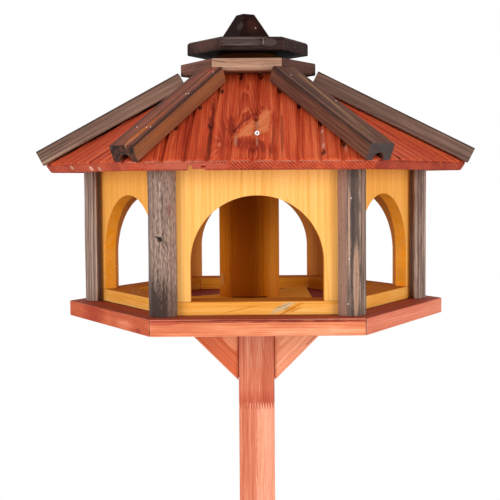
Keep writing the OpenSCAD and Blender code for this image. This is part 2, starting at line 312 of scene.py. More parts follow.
def longGrain(middle, faces):  # along the longest way through the piece
    points = np.array([v.co[:] for f in faces for v in f.verts])
    along = Vector(np.linalg.svd(points - points.mean(0), full_matrices=False)[2][0])
    if along.z < -0.1 or (abs(along.z) <= 0.1 and along.x < 0):
        along.negate()
    return along, (up - along * along.z).normalized()


def turnedGrain(degrees):  # level, turned from the right-hand side towards the back
    turn = math.radians(degrees)
    along = Vector((math.cos(turn), math.sin(turn), 0))
    return lambda middle, faces: (along, up)


def slantedGrain(middle, faces):  # along the longest edge, for the sawn triangles of the brackets
    edge = max((e for f in faces for e in f.edges), key=lambda e: e.calc_length())
    along = (edge.verts[1].co - edge.verts[0].co).normalized()
    return along, up.cross(along).normalized()


def boardsOf(bm):  # the separate boards of a mesh, as lists of faces
    bm.faces.ensure_lookup_table()
    left = set(bm.faces)
    found = []
    for seed in bm.faces:
        if seed not in left:
            continue
        left.discard(seed)
        board, reached = [], [seed]
        while reached:
            face = reached.pop()
            board.append(face)
            for edge in face.edges:
                for other in edge.link_faces:
                    if other in left:
                        left.discard(other)
                        reached.append(other)
        found.append(board)
    return found


def grainFrame(board, grain):  # a board's points, its axes as a matrix, and its middle along them
    points = {v for f in board for v in f.verts}
    middle = sum((v.co for v in points), Vector()) / len(points)
    along, facing = grain(middle, board)
    across = along.cross(facing).normalized()
    axes = Matrix((along, across, across.cross(along)))
    local = [axes @ v.co for v in points]
    low = Vector([min(p[k] for p in local) for k in range(3)])
    high = Vector([max(p[k] for p in local) for k in range(3)])
    return points, axes, (low + high) / 2


def cutAcross(bm, direction, spacing):  # adds edges square to a direction, so that the piece can bend
    reach = [v.co.dot(direction) for v in bm.verts]
    start, end = min(reach), max(reach)
    count = int((end - start) / spacing)
    for k in range(1, count + 1):
        at = direction * (start + (end - start) * k / (count + 1))
        everything = bm.verts[:] + bm.edges[:] + bm.faces[:]
        bmesh.ops.bisect_plane(bm, geom=everything, dist=1e-6, plane_co=at, plane_no=direction)


def roughOut(nodeName):  # a clean editable copy of a node's mesh
    bm = bmesh.new()
    bm.from_mesh(frame["nodes"][nodeName].data)
    bmesh.ops.remove_doubles(bm, verts=bm.verts, dist=1e-5)
    bmesh.ops.dissolve_limit(bm, angle_limit=math.radians(1), verts=bm.verts, edges=bm.edges)
    bm.normal_update()
    return bm


def easeEdges(bm, width, among=lambda edge: True):  # rounds the arrises and returns their middle points
    sharp = [e for e in bm.edges if e.calc_face_angle(0) > math.radians(30) and among(e)]
    made = bmesh.ops.bevel(bm, geom=sharp, offset=width, offset_type="OFFSET", segments=2, profile=0.5,
                           affect="EDGES", clamp_overlap=True, loop_slide=True)
    fresh = set(made["faces"])
    return {v for v in made["verts"] if v.is_valid and all(f in fresh for f in v.link_faces)}


def unsteady(bm, size, reach):  # moves every point a little, as hand tools leave it
    for v in bm.verts:
        v.co += noise.noise_vector(v.co / size) * reach


def blockAt(low, high, axes, centre):  # a block between two points of a board's grain frame
    bm = bmesh.new()
    bmesh.ops.create_cube(bm, size=1.0)
    low, high = Vector(low), Vector(high)
    for v in bm.verts:
        local = centre + (low + high) / 2 + Vector([v.co[k] * (high[k] - low[k]) for k in range(3)])
        v.co = axes.transposed() @ local
    bm.normal_update()
    bmesh.ops.recalc_face_normals(bm, faces=bm.faces)
    return bm


def carve(bm, tool, how="DIFFERENCE"):  # cuts with a second mesh and returns the result
    pair = []
    for shape in (bm, tool):
        item = bpy.data.objects.new("carving", bpy.data.meshes.new("carving"))
        shape.to_mesh(item.data)
        shape.free()
        scene.collection.objects.link(item)
        pair.append(item)
    work, knife = pair
    cutting = work.modifiers.new("cutting", "BOOLEAN")
    cutting.object = knife
    cutting.operation = how
    cutting.solver = "EXACT"
    carved = bmesh.new()
    carved.from_object(work, bpy.context.evaluated_depsgraph_get())
    carved.normal_update()
    for item in pair:
        mesh = item.data
        bpy.data.objects.remove(item)
        bpy.data.meshes.remove(mesh)
    return carved


def addPiece(bm, name, *materials):  # a finished mesh as an object in the scene
    mesh = bpy.data.meshes.new(name)
    bm.to_mesh(mesh)
    bm.free()
    for material in materials:
        mesh.materials.append(material)
    piece = bpy.data.objects.new(name, mesh)
    scene.collection.objects.link(piece)
    return piece


def shadeSmooth(mesh, degrees):  # smooth, but for folds sharper than that
    mesh.polygons.foreach_set("use_smooth", [True] * len(mesh.polygons))
    mesh.set_sharp_from_angle(angle=math.radians(degrees))


def bodyOf(nodeName):
    bodies = frame["record"]["behaviour"]["bodies"]
    return next(body for body, members in bodies.items() if nodeName in members)


nailed = {"feeder": [], "cap": []}  # where small brads stand, as points and directions, for each body
rayStart = 0.05   # how far off a board's middle the rays start that find its surface


# Finishes a node's worked copy and puts it in the node's place. Each board takes the finish that is
# named for its kind, or "others". A brad is given as its kind of board and its place along and across.
def finishPiece(bm, name, nodeName, finishes, grain, worn=(), grooveShade=None, stroke=None, brads=(),
                kindOf=sideOf):
    worn = {v.index for v in worn}
    bm.normal_update()
    bm.verts.index_update()
    if not isinstance(finishes, dict):
        finishes = {"others": finishes}
    place = np.zeros((len(bm.verts), 3), np.float32)
    traits = np.zeros((len(bm.verts), 3), np.float32)
    surface = BVHTree.FromBMesh(bm)
    sawn = {}
    for board in boardsOf(bm):
        points, axes, centre = grainFrame(board, grain)
        middle = axes.transposed() @ centre
        side = kindOf(middle)
        finish = side if side in finishes else "others"
        lot = (middle.x * 17.3 + middle.y * 29.7 + middle.z * 41.9) % 1.0
        for v in points:
            place[v.index] = axes @ v.co - centre
            traits[v.index] = (lot, 1.0 if v.index in worn else 0.0, grooveShade(v, axes) if grooveShade else 0.0)
        for face in board:
            face.material_index = list(finishes).index(finish)
            end = float(abs(face.normal.dot(axes[0])) > 0.7)
            through = float(abs(face.normal.dot(axes[2])) < 0.2)
            for loop in face.loops:
                local = axes @ loop.vert.co - centre
                along = stroke(local) if stroke else local.y + local.z
                sawn[(face.index, loop.vert.index)] = (along, end, through)
        for where, along, across in brads:
            if where in (side, None):
                start = axes.transposed() @ (centre + Vector((along, across, rayStart)))
                spot, normal = surface.ray_cast(start, -axes[2])[:2]
                if spot:
                    nailed[bodyOf(nodeName)].append((spot, normal))
    piece = addPiece(bm, name, *finishes.values())
    mesh = piece.data
    cuts = [sawn[(face.index, v)] for face in mesh.polygons for v in face.vertices]
    cuts = np.array(cuts, np.float32)
    for key, domain, values in (("board", "POINT", place), ("traits", "POINT", traits),
                                ("sawn", "CORNER", cuts)):
        mesh.attributes.new(key, "FLOAT_VECTOR", domain).data.foreach_set("vector", values.ravel())
    shadeSmooth(mesh, 38)
    even = piece.modifiers.new("even shading", "WEIGHTED_NORMAL")
    even.keep_sharp = True
    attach(piece, bodyOf(nodeName))
    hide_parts(nodeName)


def latheTurned(name, outline, spots, material, body, steps=16):  # one round shape at each of the spots
    bm = bmesh.new()
    for place, axis in spots:
        turn = axis.to_track_quat("Z", "Y").to_matrix()
        rings = []
        for radius, height in outline:
            ring = []
            for k in range(steps if radius else 1):
                angle = 2 * math.pi * k / steps
                point = Vector((radius * math.cos(angle), radius * math.sin(angle), height))
                ring.append(bm.verts.new(place + turn @ point))
            rings.append(ring)
        for inner, outer in zip(rings, rings[1:]):
            for k in range(steps):
                around = [inner[k % len(inner)], inner[(k + 1) % len(inner)],
                          outer[(k + 1) % len(outer)], outer[k % len(outer)]]
                bm.faces.new(list(dict.fromkeys(around)))
    bmesh.ops.recalc_face_normals(bm, faces=bm.faces)
    piece = addPiece(bm, name, material)
    shadeSmooth(piece.data, 50)
    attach(piece, body)


# Deck and rim

deck = dict(ease=0.0012, slot="deck_wood")
deckLook = dict(
    softwood, dark="#B4503A", mid="#DC7C5E", light="#F4A88A", rings=-0.22, ringGap=0.0026,
    heart=(0.03, -0.06), streak=(0.3, 0.007, 0.22), fibre=(0.03, 0.0008, 0.22),
    patch=(0.05, 0.02, 0.3), wear="#F6BCA2", wearBy=0.5)
frontDeckLook = dict(deckLook, mid="#DE8258", light="#F4AE88")
leftDeckLook = dict(deckLook, dark="#A83E26", mid="#CA6440", light="#E88C6A")
rightDeckLook = dict(deckLook, light="#EFA084", patch=(0.1, 0.03, 0.2))
deckMiddleLook = dict(deckLook, dark="#6A1808", mid="#962C12", light="#B04420", rings=-0.1)
# Painted shade: the whole top face of the deck is darker.
deckTopShade = mark((0, 0, 10.2), (1000, 1000, 1.2), "#983820", share=0.85, soft=0.3, ragged=0.0)
# Painted shadow: a dark line on the deck's top along the foot of the rim.
rimFootShadow = mark((0, 2, 10.2), (1000, 1.6, 3), "#3A140C", share=0.9, soft=0.3, ragged=0.6)
topLine = mark((20, 36, 8), (110, 10, 0.8), "#6A2014", share=0.9, soft=0.15, ragged=2.4)
topLines = [
    mark((0, 36, 7.8), (1000, 10, 2), "#B04C38", share=0.6, soft=0.4, ragged=1.6),
    topLine,
    like(topLine, (50, 36, 6.4), (60, 10, 0.5)),
    like(topLine, (-50, 36, 6), (50, 10, 0.5), "#8E3C2A"),
    like(topLine, (-80, 36, 7.8), (40, 10, 0.6)),
    like(topLine, (-104, 36, 6), (18, 10, 3), "#A84030", share=0.6, ragged=1.4),
    like(topLine, (90, 36, 7), (30, 10, 0.5), "#8E3424"),
    like(topLine, (-20, 36, 7), (30, 10, 0.4), "#98402E"),
    mark((-90, 36, 1), (30, 10, 5), "#B85038", share=0.4, soft=0.6),
    mark((60, 36, -4), (70, 10, 3), lift=0.2, soft=0.6)]
openMitre = mark((118.3, 36, 0), (0.8, 20, 1000), "#5A2016", share=0.8, ragged=0.3)
blotches = [
    mark((-40, 36, 0), (30, 20, 12), lift=-0.3, soft=0.6),
    mark((50, 36, -4), (20, 20, 6), lift=0.3, soft=0.6),
    mark((90, 36, -6), (6, 20, 3), "#8E3424", share=0.6)]


def makeDeck():
    bm = roughOut("deck_frame")
    worn = easeEdges(bm, deck["ease"])
    topShade = [deckTopShade, rimFootShadow]
    finishes = {
        "others": woodFinish("deck boards", deckLook, marks=topShade),
        "front": woodFinish("front deck board", frontDeckLook, marks=topLines + [openMitre] + topShade),
        "front_left": woodFinish("left deck board", leftDeckLook, marks=blotches + topShade),
        "front_right": woodFinish("right deck board", rightDeckLook, marks=topShade)}
    finishPiece(bm, "deck_boards", "deck_frame", finishes, roundGrain, worn)
    bm = roughOut("deck_panel")
    finish = woodFinish("deck middle", deckMiddleLook)
    finishPiece(bm, "deck_middle", "deck_panel", finish, turnedGrain(0))


rim = dict(
    ease=0.0010, slot="honey_wood",
    brads=[("front_left", -0.03, 0.006), ("front_left", -0.022, 0.002)])
honeyLook = dict(
    softwood, dark="#D08028", mid="#F0A648", light="#FCCB7C", rings=-0.22, ringGap=0.0028, lean=0.01,
    heart=(0.02, -0.09), wear="#F8D090", wearBy=0.3, rough=0.88, gloss=0.05)
# A darker, redder copy of honeyLook for the three back rim boards: painted shade, as they lie in the
# shade inside the house.
backRimShadedLook = dict(honeyLook, dark="#C06C12", mid="#E48E26", light="#F4AC46")
# Painted shade: the whole top face of the rim is darker.
rimTopShade = mark((0, 0, 8.5), (1000, 1000, 1.2), "#C46E0C", share=0.8, soft=0.3, ragged=0.0)
greyKnot = mark((28.5, 20, 1), (12.5, 10, 2.8), "#CDB48E", turn=-24, about="Y", share=0.8, ragged=2.4)
greySpot = dict(greyKnot, colour="#85806C", share=0.6, ragged=2.6)
rimLine = dict(greyKnot, colour="#CE7C18", share=0.75, ragged=1.2)
rimMarks = [
    greyKnot,
    like(greySpot, (23.5, 20, 1.2), (5, 10, 0.8)),
    like(greySpot, (29, 20, 2.6), (6, 10, 0.6)),
    like(greySpot, (33, 20, 0.2), (4, 10, 0.7)),
    like(rimLine, (40, 20, 1), (12, 10, 1.4)),
    like(rimLine, (34, 20, -3.4), (11, 10, 0.8), "#B86410"),
    like(rimLine, (42, 20, -2.2), (8, 10, 0.6), "#B86410"),
    like(rimLine, (-20, 20, -1), (20, 10, 0.8), turn=-12, share=0.6),
    rimTopShade]


def makeRim():
    bm = roughOut("rim_frame")
    worn = easeEdges(bm, rim["ease"])
    pale = woodFinish("side rim boards", honeyLook, marks=[rimTopShade])
    # the back rim boards take the copy with painted shade
    finishes = {"others": woodFinish("rim boards", backRimShadedLook, marks=[rimTopShade]),
                "front": woodFinish("front rim board", honeyLook, marks=rimMarks),
                "front_left": pale, "front_right": pale}
    finishPiece(bm, "rim_boards", "rim_frame", finishes, roundGrain, worn,
                brads=rim["brads"])


makeDeck()
makeRim()
print("deck and rim made")


# Walls

walls = dict(ease=0.0008, slot="honey_wood", archCentre=-0.04, archRadius=0.075, sawSlant=0.7)
wallLook = dict(
    honeyLook, dark="#E09A40", mid="#FBBC66", light="#FFD48C", rings=-0.20, sharp=2.0,
    streak=(0.6, 0.006, 0.28), fibre=(0.05, 0.0008, 0.22), patch=(0.15, 0.06, 0.12), cut="#FA9A0E",
    cutBy=0.9, cutOn="Z", saw=1.8)
sideLook = dict(
    wallLook, dark="#DE9438", mid="#F8B054", light="#FFC878", rings=-0.14, streak=(0.6, 0.006, 0.22))
# Painted shade: the inner faces of all the wall boards are browner, as the inside of the house lies in
# shade.
insideShade = mark((0, 0, -8.8), (1000, 1000, 1.8), "#B86436", share=0.5, soft=0.3, ragged=0.0)


def archStroke(local):  # along the curve of the arch, and slanting across the board
    turn = math.atan2(local.y, local.x - walls["archCentre"])
    return turn * walls["archRadius"] + walls["sawSlant"] * local.z


def makeWalls():
    finishes = {"others": woodFinish("wall boards", sideLook, marks=[insideShade]),
                "front": woodFinish("front wall board", wallLook, marks=[insideShade])}
    for side in sides:
        node = "wall_" + side
        bm = roughOut(node)
        worn = easeEdges(bm, walls["ease"])
        finishPiece(bm, "wall_board_" + side, node, finishes, wallGrain, worn,
                    stroke=archStroke)


makeWalls()
print("walls made")


# Corner posts

posts = dict(ease=0.0008, slot="brown_wood",
             cut=0.012, waver=0.05, waverBy=0.0004, seed=7,   # the edges aren't quite straight
             brads={"front_right": [(None, 0.036, -0.0094), (None, -0.0314, -0.0113),
                                    (None, -0.0814, -0.0122)]})
postLook = dict(
    softwood, dark="#584640", mid="#9A8072", light="#CCAE9A", rings=-0.25, ringGap=0.0026,
    heart=(0.0, -0.05), bend=(0.3, 0.04, 0.0012), streak=(0.35, 0.003, 0.5), fibre=(0.03, 0.0008, 0.5),
    patch=(0.06, 0.015, 0.35), wear="#3E302A", wearBy=0.6, cut="#2E2622", cutBy=0.8,
    pores=(0.004, 0.0007), poresBy=0.6, pore="#32261F")
# Painted shade: the post is darker towards its foot.
footShade = mark((-100, 0, 8), (36, 40, 20), lift=-0.55, soft=0.7, ragged=1.8)
speckledLook = dict(
    postLook, dark="#44342E", mid="#92796C", light="#CCAE9C", rings=-0.12, fibre=(0.006, 0.0006, 0.65),
    streak=(0.25, 0.0024, 0.35), patch=(0.06, 0.012, 0.22), pores=(0.007, 0.0007), poresBy=0.55,
    poresFrom=0.56)
speckled = dict(
    look=speckledLook,
    knots=[
        mark((-8.9, 6.6, 7.6), (3, 2.6, 10), "#1E1614", swell=0.004, lines=-0.2, share=0.95)],
    marks=[
        footShade,
        mark((-6.8, 3, 7.6), (1.2, 3.6, 10), "#2A1E1A", turn=24, share=0.9),
        mark((-13.5, 11.5, 7.6), (3.5, 0.8, 10), "#3A2A24", turn=-24, share=0.7, ragged=1.8),
        mark((23.6, 14.4, 0.9), (6.5, 1, 4), "#7A3A36", share=0.75, ragged=1.2),
        mark((23, 17, 0), (6.5, 0.7, 4), "#7A3A36", share=0.7, ragged=1.2),
        # The two long strips along the post's sides are painted shade: a browner one along one side and
        # a dark grey one along the other.
        mark((0, 17.5, 0), (1000, 4.5, 1000), "#9A7A6A", share=0.35, soft=0.6),
        mark((0, -15.5, 0), (1000, 7.5, 1000), "#625452", share=0.75, soft=0.7)],
)
streaky = dict(
    look=dict(postLook, rings=-0.3, streak=(0.5, 0.0022, 0.8), mid="#7E685C", light="#C09E88"),
    marks=[
        mark((0, -16.5, 0), (1000, 3.5, 1000), "#9C7462", share=0.75, soft=0.4),
        mark((0, -5, 6), (1000, 5.8, 10), "#403836", share=0.75, soft=0.4, ragged=2.0),
        mark((0, 12.5, 6), (1000, 2.4, 10), "#463E3C", share=0.6, soft=0.4, ragged=2.0),
        mark((0, -11.3, 4.7), (55, 0.8, 10), "#BE9C86", share=0.85, ragged=0.4),
        mark((-56, -4.2, 8.5), (42, 3.4, 10), "#B48E76", share=0.9, ragged=0.5),
        mark((-56, -4.2, 8.5), (30, 1, 10), "#8A6A58", share=0.6, ragged=1.2),
        mark((20, 5.5, 8.5), (60, 1.8, 10), "#A88672", share=0.6)],
)
flutedLook = dict(
    postLook, rings=-0.6, sharp=1.6, ringGap=0.0034, lean=0.004, heart=(0.03, -0.02), poresBy=0.2,
    patch=(0.1, 0.02, 0.15))
plainLook = dict(postLook, rings=-0.3, ringGap=0.0022, lean=0.004, streak=(0.5, 0.003, 0.5))


def makePosts():
    noise.seed_set(posts["seed"])   # without it the posts differ from run to run
    fluted = dict(look=flutedLook)
    kinds = {"front_left": speckled, "front_right": streaky, "right": dict(look=plainLook)}
    for corner in corners:
        kind = kinds.get(corner, fluted)
        knots, marks = kind.get("knots", ()), kind.get("marks", ())
        finish = woodFinish(corner + " post", kind["look"], knots, marks)
        node = "post_" + corner
        bm = roughOut(node)
        worn = easeEdges(bm, posts["ease"])
        cutAcross(bm, up, posts["cut"])
        unsteady(bm, posts["waver"], posts["waverBy"])
        finishPiece(bm, node + "_wood", node, finish, wallGrain, worn,
                    brads=posts["brads"].get(corner, ()))


makePosts()
print("posts made")


# Roof boards

roof = dict(slot="roof_wood",
            screwAt=(-0.0520, 0.0052), screwFacing=(0.0, -1.0, 0.12), screwRadius=0.0027,
            screwProud=0.8,   # how far its middle stands over the board, as a share of the radius
            # outlines as shares of the radius, and heights
            screwHead=((0.0, -0.010), (0.5, -0.008), (0.5, -0.001), (1.0, -0.0006), (1.0, 0.0004),
                       (0.75, 0.0010), (0.42, 0.0008), (0.36, 0.0)),
            screwRecess=((0.36, 0.0), (0.3, -0.0006), (0.0, -0.0006)),
            chips=(((-0.12, -0.0690, -0.02), (-0.080, -0.0642, 0.0006)),
                   ((-0.12, -0.0650, -0.02), (-0.096, -0.0500, -0.0038)),
                   ((-0.12, -0.0545, -0.0022), (-0.100, -0.0492, 0.0002))))
# The roof boards' grooveShade darkens their groove bottoms with painted shade.
roofLook = dict(
    softwood, dark="#8E2610", mid="#C64824", light="#E06C40", rings=0.22, sharp=4.0, ringGap=0.0036,
    heart=(0.03, -0.06), lean=0.008, bend=(0.3, 0.05, 0.002), streak=(0.5, 0.005, 0.6),
    fibre=(0.05, 0.0009, 0.55), patch=(0.15, 0.024, 0.25), cut="#B04E38", cutBy=0.7, saw=2.6,
    sawGap=0.0042, grooveShade="#641A0C", grooveShadeBy=0.85, pores=(0.006, 0.0009), poresBy=0.35,
    pore="#7A200E")
paleArris = mark((-105.6, 0, 5), (1.4, 1000, 0.6), "#D88C76", share=0.4, ragged=3.0)
blackGroove = mark((-30, -46.5, 4), (85, 2.6, 10), "#56140A", share=0.65, ragged=2.8)
palePatch = mark((-25, 2, 7), (36, 6.2, 20), "#E07848", turn=30, share=0.85, soft=0.2, ragged=0.35)
paleStreak = like(palePatch, (-34, -3, 7), (20, 1.2, 20), "#E48C60", share=0.5)
groovePale = mark((-62, -18.2, 5), (13, 1.5, 10), "#B48468", share=0.7)
rightRoofLook = dict(roofLook, cut="#8A3024")
frontKnots = [
    mark((-11.5, 4.1, 6), (4.2, 3, 20), "#6C2014", reach=5.0, swell=0.008, lines=0.4, share=0.85),
    mark((22, -6, 6), (45, 8, 20), reach=1.2, swell=0.010, lines=0.5),
    mark((-36.5, -19.4, 6), (4.8, 2.8, 20), "#641A12", reach=5.0, swell=0.007, lines=0.35, share=0.85),
    mark((-73.1, -37.3, 6), (12, 4.5, 20), reach=1.8, swell=0.0075, lines=0.4),
    mark((-94, 3, 6), (26, 9, 20), reach=1.2, swell=0.009, lines=0.5)]
grooveShadow = dict(colour="#2A0A06", share=0.85, ragged=0.8)
grooveShadowPlaces = ((97.7, -14.8), (97.1, 9.4), (57.9, 32.7), (21.4, 54.2), (-22.5, 77), (-70.3, 100.7),
              (56, -36.8), (14.2, -61), (-33.9, -85.4))   # painted shadow where the grooves run under the battens and the crown
grooveShadows = [like(grooveShadow, (along, across, 5), (5.5, 2.4, 20)) for along, across in grooveShadowPlaces]
frontMarks = [
    # The first four entries are painted shade and painted light: two darker places, a darker part
    # towards one side and a lighter part towards the other.
    mark((-75, 0, 7), (12, 26, 20), turn=12, lift=-0.28, soft=0.6),
    mark((-12, 18, 7), (12, 10, 20), lift=-0.2, soft=0.6),
    mark((-60, -80, 7), (90, 50, 20), lift=-0.12, soft=0.8),
    mark((-60, 65, 7), (70, 32, 20), lift=0.13, soft=0.8),
    palePatch,
    like(palePatch, (-45, 2, 7), (18.5, 6.2, 20), turn=66),
    like(palePatch, (-18, 13.2, 7), (27, 6.2, 20), turn=4),
    paleStreak,
    like(paleStreak, (-40, 6, 7), (20, 1.2, 20), turn=50),
    like(paleStreak, (-12, 12, 7), (20, 1.2, 20), turn=20),
    mark((-14, -6.5, 7), (30, 1.6, 20), "#7A2012", turn=30, share=0.7, ragged=1.2),
    mark((-30, -24.5, 7), (24, 4, 20), "#80200F", share=0.6, ragged=2.4),
    mark((-55, 22.5, 7), (50, 1.2, 20), "#7A200F", turn=2, share=0.7, ragged=1.6),
    mark((-73.1, -36, 7), (5, 2.2, 20), "#E0704A", share=0.7, ragged=1.0),
    groovePale,
    like(groovePale, (-28, 5, 5), (12, 1.4, 10)),
    like(groovePale, (-66, 5, 5), (12, 1.2, 10), share=0.5),
    blackGroove,
    mark((-50, 32.5, 5), (50, 1.8, 10), "#6E1A0C", share=0.6),
    mark((-28.7, -47.5, 5), (4, 2.2, 10), "#2E0A06", share=0.9),
    mark((-41.4, 77, 5), (4.5, 1.2, 10), "#F0D8C8", share=0.9, ragged=0.5),
    mark((-68, 76.8, 5), (28, 2.2, 10), "#C0624A", share=0.8, ragged=2.6),
    mark((-75, 77, 5), (5, 1.2, 10), "#DCA490", share=0.8),
    mark((-90, 76.5, 5), (6, 2.2, 10), "#5A160C", share=0.9),
    mark((-80, 101, 5), (12, 1.2, 10), "#C87860", share=0.8, ragged=1.6),
    mark((-107, -75, 0), (4, 40, 6), "#BE6450", share=0.6, ragged=2.6),
    mark((-107, -44, 0), (4, 17, 6), "#C0563E", share=0.75, ragged=1.2),
    *grooveShadows,
    paleArris]
leftMarks = [
    mark((-103.4, -42.6, 1), (6, 5, 3), "#DCA088", share=0.75, ragged=1.4),
    mark((-102.6, 19.2, -1), (6, 5, 3), "#E8B8A4", share=0.85, ragged=1.4),
    mark((-102.2, 44.1, -2), (6, 5, 3), "#DCA088", share=0.7, ragged=1.4),
    paleArris]
rightMarks = [
    mark((-103, -55.2, 7.2), (3, 1.6, 3), "#3A0C08", share=0.9),
    mark((-103.8, -69.6, 6.2), (3, 1.6, 3), "#4A120C", share=0.9),
    paleArris]


def grooveShadeMask(v, axes):  # 1 for points at the bottom of a groove, which take the painted shade
    along, facing = axes[0], axes[2]
    for face in v.link_faces:
        if abs(face.normal.dot(along)) > 0.08 or not 0.05 < face.normal.dot(facing) < 0.9995:
            return 0.0
    return 1.0


def chipEave(bm):  # pieces broken out of the front board's lower edge
    for low, high in roof["chips"]:
        axes, centre = grainFrame(boardsOf(bm)[0], slopeGrain)[1:]
        bm = carve(bm, blockAt(low, high, axes, centre))
    return bm


def driveScrew(bm):  # a screw driven nearly level into the slope, its head standing on the lower edge
    axes, centre = grainFrame(boardsOf(bm)[0], slopeGrain)[1:]
    start = axes.transposed() @ (centre + Vector(roof["screwAt"] + (rayStart,)))
    seat = BVHTree.FromBMesh(bm).ray_cast(start, -axes[2])[0]
    radius = roof["screwRadius"]
    place = seat + Vector((0, 0, radius * roof["screwProud"]))
    facing = Vector(roof["screwFacing"]).normalized()
    for name, outline, finish in (
            ("screw_head", roof["screwHead"], metalFinish("bright metal", "#FFFFFF", 0.4)),
            ("screw_recess", roof["screwRecess"], metalFinish("dark metal", "#201A18", 0.5))):
        turned = [(radius * share, height) for share, height in outline]
        latheTurned(name, turned, [(place, facing)], finish, "feeder")


def makeRoof():
    finishes = {"others": woodFinish("roof boards", roofLook, marks=[paleArris]),
                "front": woodFinish("front roof boards", roofLook, frontKnots, frontMarks),
                "front_left": woodFinish("left roof boards", roofLook, marks=leftMarks),
                "front_right": woodFinish("right roof boards", rightRoofLook, marks=rightMarks)}
    for side in sides:
        node = "roof_" + side
        bm = roughOut(node)
        if side == "front":
            driveScrew(bm)
            bm = chipEave(bm)
        finishPiece(bm, "roof_boards_" + side, node, finishes, slopeGrain,
                    grooveShade=grooveShadeMask)


makeRoof()
print("roof boards made")


# Hip battens and crown

battenLook = dict(
    softwood, dark="#3A261E", mid="#6E4E40", light="#9C7662", rings=-0.2, ringGap=0.0028,
    bend=(0.3, 0.04, 0.0015), lean=0.006, streak=(0.4, 0.004, 0.5), fibre=(0.04, 0.0008, 0.4),
    wear="#2A1E1A", wearBy=0.5, cut="#4A4240", cutBy=1.0, saw=1.5, sawGap=0.0016,
    pores=(0.006, 0.0008), poresBy=0.3)
arrises = [mark((0, side * 16.5, 10.2), (1000, 2.4, 2.4), "#2A1E1C", share=0.85, ragged=0.8)
           for side in (-1, 1)]
barePatches = dict(
    look=dict(battenLook, dark="#48281E", mid="#8A4C38", light="#BC7860", cut="#241E1E"),
    marks=[
        mark((0, 17.5, 0), (1000, 3.5, 9.5), "#8A5432", share=0.75, soft=0.3, ragged=0.6),
        mark((60, 17.5, 2), (50, 3, 5), "#A0643A", share=0.5, soft=0.6),
        mark((-50, 17.5, 1), (40, 3, 4), "#A46030", share=0.5, soft=0.6),
        mark((0, -14.5, 10), (1000, 2.5, 4), "#46403E", share=0.7, soft=0.4),
        mark((-72, 5.5, 10), (26, 3.4, 4), "#B05A20", turn=5, share=0.85, ragged=1.4),
        mark((-92, 6, 10), (14, 1.2, 4), "#CC8850", turn=4, share=0.8, ragged=1.2),
        mark((-38, 6.5, 10), (18, 3, 4), "#A04E22", turn=4, share=0.8, ragged=1.6),
        mark((-14, 5, 10), (12, 2, 4), "#8E4A28", share=0.6, ragged=1.6),
        mark((92, 7, 10), (4.5, 1.6, 4), "#C8402A", turn=30, share=0.9),
        mark((93, 3, 10), (3.5, 1, 4), "#B83A26", turn=30, share=0.8),
        *arrises],
    brads=[(None, -0.0608, 0.0066), (None, -0.0607, 0.0118), (None, -0.0594, -0.0069), (None, 0.0261,
        0.0085), (None, 0.0268, 0.0115), (None, 0.0887, 0.0115)],
)
lightStreaks = dict(
    look=dict(battenLook, dark="#36221A", mid="#684032", light="#8C6048", cut="#484242"),
    marks=[
        mark((30, 5, 10), (80, 1.8, 4), "#8A6444", turn=3, share=0.7, ragged=1.6),
        mark((-60, 1, 10), (50, 1.2, 4), "#8E6A4A", turn=5, share=0.6, ragged=1.6),
        mark((20, 3, 10), (90, 0.4, 4), "#B48C64", turn=3, share=0.7, ragged=0.8),
        mark((-40, -2, 10), (60, 0.4, 4), "#AE8660", turn=5, share=0.7, ragged=0.8),
        mark((30, -8, 10), (90, 3, 4), "#34241E", share=0.6, soft=0.5),
        *arrises],
    brads=[(None, 0.0043, 0.0101), (None, 0.0799, -0.0065)],
)
greyBatten = dict(
    look=dict(battenLook, dark="#5A463C", mid="#8E7060", light="#B4947E", rings=-0.12, poresBy=0.4),
    marks=[
        mark((-100, 16, 4), (40, 10, 0.8), "#4A3830", share=0.7, ragged=1.2),
        mark((-90, 16, 0), (35, 10, 0.8), "#4A3830", share=0.7, ragged=1.2),
        mark((-100, 16, -4), (30, 10, 0.8), "#50403A", share=0.6, ragged=1.2),
        mark((-85, 16, -7), (35, 10, 1), "#C4AA8E", share=0.6, ragged=1.2),
        *arrises],
)
plainBatten = dict(
    look=dict(battenLook, dark="#5A443C", mid="#806558", light="#A48474", rings=-0.1), marks=arrises)


def makeBattens():
    kinds = {"front_left": barePatches, "front_right": lightStreaks, "left": greyBatten}
    for corner in corners:
        kind = kinds.get(corner, plainBatten)
        finish = woodFinish(corner + " batten", kind["look"], marks=kind["marks"])
        node = "batten_" + corner
        finishPiece(roughOut(node), node + "_wood", node, finish, longGrain,
                    brads=kind.get("brads", ()))


crown = dict(ease=0.0012, slot="ring_wood")
crownLook = dict(battenLook, dark="#3C241E", mid="#664236", light="#8C5E4E", cutBy=0.0)
rightCrownLook = dict(crownLook, dark="#301C18", mid="#54362E", light="#70483C")
paleCrownLook = dict(crownLook, dark="#7C5A46", mid="#A88068", light="#C8A084", rings=-0.15, wearBy=0.2)
crack = mark((-34, 22, 4), (12, 10, 0.5), "#3E2A22", turn=10, about="Y", share=0.9, ragged=0.6)


def makeCrown():
    bm = roughOut("crown_ring")
    worn = easeEdges(bm, crown["ease"])
    finishes = {"others": woodFinish("crown boards", crownLook),
                "front_right": woodFinish("right crown board", rightCrownLook),
                "front": woodFinish("front crown board", paleCrownLook, marks=[crack])}
    finishPiece(bm, "crown_boards", "crown_ring", finishes, roundGrain, worn)


makeBattens()
makeCrown()
print("battens and crown made")


# Silo

